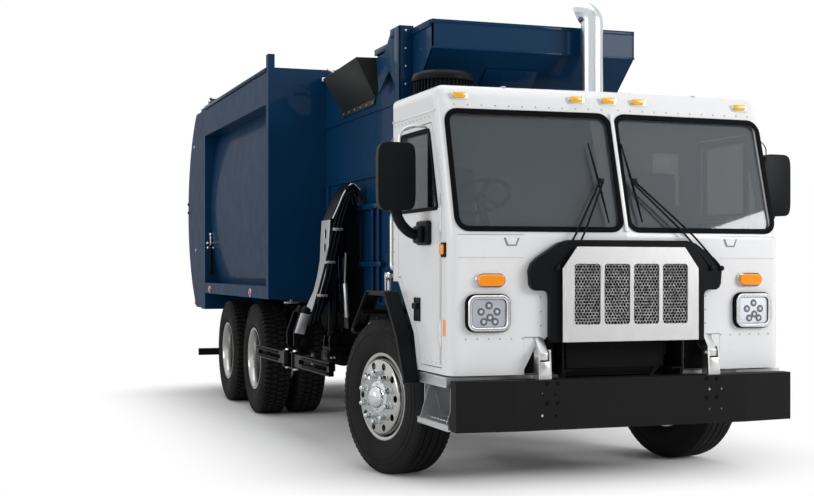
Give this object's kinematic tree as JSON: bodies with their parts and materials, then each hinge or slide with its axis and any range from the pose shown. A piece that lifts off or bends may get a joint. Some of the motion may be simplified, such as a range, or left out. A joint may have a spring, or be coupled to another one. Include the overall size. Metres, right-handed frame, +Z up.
{
  "type": "side-loading garbage truck",
  "caption": "Cab-over garbage truck with a tilting cab, steered front wheels, dual rear wheels, an open charge hopper, a side-loading grab arm and a lifting tailgate.",
  "frame": {"origin": "on the ground below the middle of the truck's overall length and width", "axes": "+Z up, the truck faces -Y, +X is its left (street) side and -X its right (kerb) side, where the arm is"},
  "size_m": [3.0414, 9.48, 3.44],
  "materials": {
    "cab_paint": "gloss white",
    "body_paint": "gloss dark blue",
    "frame_paint": "satin black",
    "engine_metal": "rough cast",
    "rod_chrome": "ground and plated",
    "wheel_alloy": "polished",
    "step_alloy": "mill finish",
    "bracket_steel": "plain",
    "tyre_rubber": "dull black",
    "black_plastic": "satin",
    "lamp_plastic": "clear over bright reflectors",
    "window_glass": "light grey tint",
    "seat_fabric": "woven dark grey"
  },
  "bodies": {
    "chassis": {"frame_rails": "frame_paint", "front_bumper": "frame_paint", "suspension": "frame_paint", "front_axle": "frame_paint", "drive_axles": "frame_paint", "engine_block": "engine_metal", "fuel_tank": "step_alloy", "battery_box": "frame_paint", "exhaust_stack": "rod_chrome", "air_cleaner": "black_plastic", "fenders": "black_plastic", "steps": "step_alloy", "hinge_brackets": "bracket_steel", "body_shell": "body_paint", "hopper": "body_paint", "hopper_guards": "body_paint", "underrun_bar": "frame_paint", "arm_base": "frame_paint"},
    "cab": {"cab_shell": "cab_paint", "cab_upper": "cab_paint", "cab_glass": "window_glass", "grille_surround": "black_plastic", "grille_plate": "bracket_steel", "lamps": "lamp_plastic", "wipers": "black_plastic", "dashboard": "black_plastic", "seats": "seat_fabric"},
    "steering_wheel": {"steering_wheel": "black_plastic"},
    "tailgate": {"tailgate": "body_paint"},
    "arm_boom": {"arm_boom": "frame_paint"},
    "arm_forearm": {"arm_forearm": "frame_paint"},
    "gripper": {"gripper": "frame_paint"},
    "finger_front": {"finger_front": "frame_paint"},
    "finger_rear": {"finger_rear": "frame_paint"},
    "cylinder_barrel": {"cylinder_barrel": "frame_paint"},
    "cylinder_rod": {"cylinder_rod": "rod_chrome"},
    "door_kerb": {"door_kerb": "cab_paint", "door_glass_kerb": "window_glass", "mirror_kerb": "black_plastic"},
    "knuckle_kerb": {"knuckle_kerb": "frame_paint"},
    "front_wheel_kerb": {"front_rim_kerb": "wheel_alloy", "front_tyre_kerb": "tyre_rubber"},
    "rear_wheel_kerb_1": {"rear_rim_kerb_1": "wheel_alloy", "rear_tyre_kerb_1": "tyre_rubber"},
    "rear_wheel_kerb_2": {"rear_rim_kerb_2": "wheel_alloy", "rear_tyre_kerb_2": "tyre_rubber"},
    "door_street": {"door_street": "cab_paint", "door_glass_street": "window_glass", "mirror_street": "black_plastic"},
    "knuckle_street": {"knuckle_street": "frame_paint"},
    "front_wheel_street": {"front_rim_street": "wheel_alloy", "front_tyre_street": "tyre_rubber"},
    "rear_wheel_street_1": {"rear_rim_street_1": "wheel_alloy", "rear_tyre_street_1": "tyre_rubber"},
    "rear_wheel_street_2": {"rear_rim_street_2": "wheel_alloy", "rear_tyre_street_2": "tyre_rubber"}
  },
  "joints": [
    {"name": "cab_tilt", "type": "hinge", "parent": "chassis", "child": "cab", "pos_m": [0, -4.66, 0.885], "axis": [1, 0, 0], "range_deg": [0, 45]},
    {"name": "steering_wheel_turn", "type": "hinge", "parent": "cab", "child": "steering_wheel", "pos_m": [-0.8, -4.1, 1.9], "axis": [0, 0.5, 0.866], "range_deg": [-1040, 460]},
    {"name": "door_kerb_swing", "type": "hinge", "parent": "cab", "child": "door_kerb", "pos_m": [-1.184, -4.419, 1.2], "axis": [0, 0, 1], "range_deg": [0, 70]},
    {"name": "door_street_swing", "type": "hinge", "parent": "cab", "child": "door_street", "pos_m": [1.184, -4.419, 1.2], "axis": [0, 0, -1], "range_deg": [0, 70]},
    {"name": "steer_kerb", "type": "hinge", "parent": "chassis", "child": "knuckle_kerb", "pos_m": [-0.968, -3.313, 0.54], "axis": [0, 0, 1], "range_deg": [-48.5, 21.5]},
    {"name": "front_wheel_kerb_spin", "type": "hinge", "parent": "knuckle_kerb", "child": "front_wheel_kerb", "pos_m": [-0.968, -3.313, 0.54], "axis": [0.9724, 0.2334, 0], "continuous": true},
    {"name": "rear_wheel_kerb_1_spin", "type": "hinge", "parent": "chassis", "child": "rear_wheel_kerb_1", "pos_m": [-0.9485, 0.87, 0.54], "axis": [1, 0, 0], "continuous": true},
    {"name": "rear_wheel_kerb_2_spin", "type": "hinge", "parent": "chassis", "child": "rear_wheel_kerb_2", "pos_m": [-0.9485, 2.236, 0.54], "axis": [1, 0, 0], "continuous": true},
    {"name": "steer_street", "type": "hinge", "parent": "chassis", "child": "knuckle_street", "pos_m": [0.968, -3.313, 0.54], "axis": [0, 0, 1], "range_deg": [-48.5, 21.5]},
    {"name": "front_wheel_street_spin", "type": "hinge", "parent": "knuckle_street", "child": "front_wheel_street", "pos_m": [0.968, -3.313, 0.54], "axis": [0.9724, 0.2334, 0], "continuous": true},
    {"name": "rear_wheel_street_1_spin", "type": "hinge", "parent": "chassis", "child": "rear_wheel_street_1", "pos_m": [0.9485, 0.87, 0.54], "axis": [1, 0, 0], "continuous": true},
    {"name": "rear_wheel_street_2_spin", "type": "hinge", "parent": "chassis", "child": "rear_wheel_street_2", "pos_m": [0.9485, 2.236, 0.54], "axis": [1, 0, 0], "continuous": true},
    {"name": "tailgate_swing", "type": "hinge", "parent": "chassis", "child": "tailgate", "pos_m": [0, 3.692, 3.4], "axis": [1, 0, 0], "range_deg": [0, 75]},
    {"name": "boom_swing", "type": "hinge", "parent": "chassis", "child": "arm_boom", "pos_m": [-0.8, -1.12, 0.86], "axis": [0, -1, 0], "range_deg": [0, 26]},
    {"name": "forearm_swing", "type": "hinge", "parent": "arm_boom", "child": "arm_forearm", "pos_m": [-0.85, -1.12, 2.08], "axis": [0, 1, 0], "range_deg": [0, 130]},
    {"name": "wrist_swing", "type": "hinge", "parent": "arm_forearm", "child": "gripper", "pos_m": [-1.262, -1.12, 0.8], "axis": [0, 1, 0], "range_deg": [-20, 0]},
    {"name": "finger_front_swing", "type": "hinge", "parent": "gripper", "child": "finger_front", "pos_m": [-1.346, -1.26, 0.66], "axis": [0, 0, -1], "range_deg": [0, 75]},
    {"name": "finger_rear_swing", "type": "hinge", "parent": "gripper", "child": "finger_rear", "pos_m": [-1.346, -0.98, 0.66], "axis": [0, 0, 1], "range_deg": [0, 75]},
    {"name": "cylinder_swing", "type": "hinge", "parent": "chassis", "child": "cylinder_barrel", "pos_m": [-0.99, -1.12, 0.815], "axis": [0, -1, 0], "range_deg": [0, 26]},
    {"name": "cylinder_slide", "type": "slide", "parent": "cylinder_barrel", "child": "cylinder_rod", "axis": [0.0445, 0, 0.999], "range_m": [-0.1, 0]}
  ],
  "couplings": [
    {"joint": "steer_street", "follows": "steer_kerb", "ratio": 1},
    {"joint": "steering_wheel_turn", "follows": "steer_kerb", "ratio": 20},
    {"joint": "finger_rear_swing", "follows": "finger_front_swing", "ratio": 1},
    {"joint": "cylinder_swing", "follows": "boom_swing", "ratio": 0.9758},
    {"joint": "cylinder_slide", "follows": "boom_swing", "m_per_rad": -0.1928}
  ]
}
